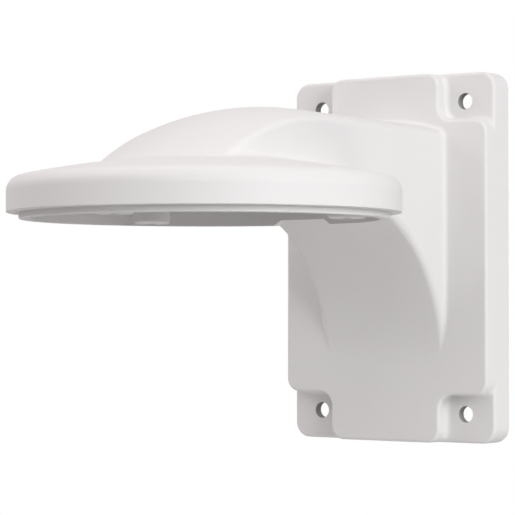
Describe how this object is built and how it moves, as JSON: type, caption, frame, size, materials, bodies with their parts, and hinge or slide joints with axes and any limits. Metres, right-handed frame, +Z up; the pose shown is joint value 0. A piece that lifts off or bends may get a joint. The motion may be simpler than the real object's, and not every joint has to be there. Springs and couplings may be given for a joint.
{
  "type": "camera wall bracket",
  "caption": "White cast wall bracket for a round camera: a tall screw plate, a hollow arm that bends down, and a domed disc the camera base screws up into.",
  "frame": {"origin": "centre of the wall plate's back face, which lies on the wall", "axes": "+Z up the wall, +Y into the wall, so the arm reaches out along -Y; the casting is symmetric about the plane X = 0"},
  "size_m": [0.1456, 0.2147, 0.151],
  "materials": {
    "coating": "satin white powder coat with a very fine grain over cast aluminium"
  },
  "bodies": {
    "root": {"bracket": "coating"}
  },
  "joints": []
}
